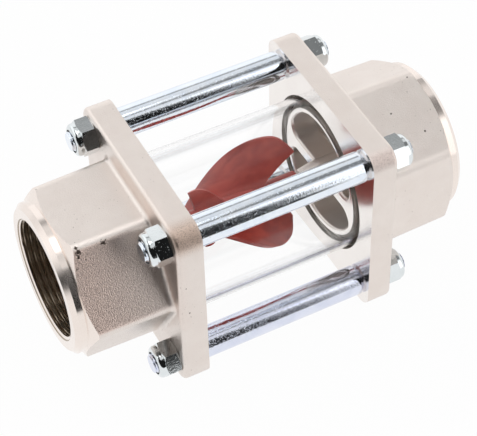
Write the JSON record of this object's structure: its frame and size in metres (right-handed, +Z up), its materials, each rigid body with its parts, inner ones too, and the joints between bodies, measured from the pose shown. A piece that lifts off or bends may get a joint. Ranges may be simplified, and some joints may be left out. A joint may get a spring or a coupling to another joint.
{
  "type": "impeller flow indicator",
  "caption": "In-line sight flow indicator: hexagon pipe sockets with square flanges clamp a glass tube with tie rods, and a red screw impeller turns inside to show the flow.",
  "frame": {"origin": "centre of the whole body, on the flow axis half way between the two pipe mouths", "axes": "+X along the flow axis from the inlet to the outlet, +Z up, square with the flange sides"},
  "size_m": [0.1636, 0.081, 0.081],
  "materials": {
    "nickel_plated_casting": "sandblasted cast brass, nickel plated, machined on its faces and collar",
    "borosilicate_glass": "clear drawn tube with ground ends",
    "grey_sealing_rubber": "flat sealing ring",
    "stainless_pin": "ground",
    "white_bearing_plastic": "low-friction washer",
    "red_moulded_plastic": "injection moulded, satin",
    "zinc_plated_steel": "bright zinc plating",
    "dark_nylon": "locking ring crimped in the nut"
  },
  "bodies": {
    "housing": {"inlet_body": "nickel_plated_casting", "outlet_body": "nickel_plated_casting", "sight_glass": "borosilicate_glass", "inlet_gasket": "grey_sealing_rubber", "outlet_gasket": "grey_sealing_rubber", "axle_pin": "stainless_pin", "inlet_thrust_washer": "white_bearing_plastic", "outlet_thrust_washer": "white_bearing_plastic", "tie_rod_front_top": "zinc_plated_steel", "inlet_lock_nut_front_top": "zinc_plated_steel", "inlet_nylon_ring_front_top": "dark_nylon", "outlet_lock_nut_front_top": "zinc_plated_steel", "outlet_nylon_ring_front_top": "dark_nylon", "tie_rod_front_bottom": "zinc_plated_steel", "inlet_lock_nut_front_bottom": "zinc_plated_steel", "inlet_nylon_ring_front_bottom": "dark_nylon", "outlet_lock_nut_front_bottom": "zinc_plated_steel", "outlet_nylon_ring_front_bottom": "dark_nylon", "tie_rod_back_top": "zinc_plated_steel", "inlet_lock_nut_back_top": "zinc_plated_steel", "inlet_nylon_ring_back_top": "dark_nylon", "outlet_lock_nut_back_top": "zinc_plated_steel", "outlet_nylon_ring_back_top": "dark_nylon", "tie_rod_back_bottom": "zinc_plated_steel", "inlet_lock_nut_back_bottom": "zinc_plated_steel", "inlet_nylon_ring_back_bottom": "dark_nylon", "outlet_lock_nut_back_bottom": "zinc_plated_steel", "outlet_nylon_ring_back_bottom": "dark_nylon"},
    "impeller": {"impeller": "red_moulded_plastic"}
  },
  "joints": [
    {"name": "impeller_spin", "type": "hinge", "parent": "housing", "child": "impeller", "pos_m": [0, 0, 0], "axis": [1, 0, 0], "continuous": true}
  ]
}
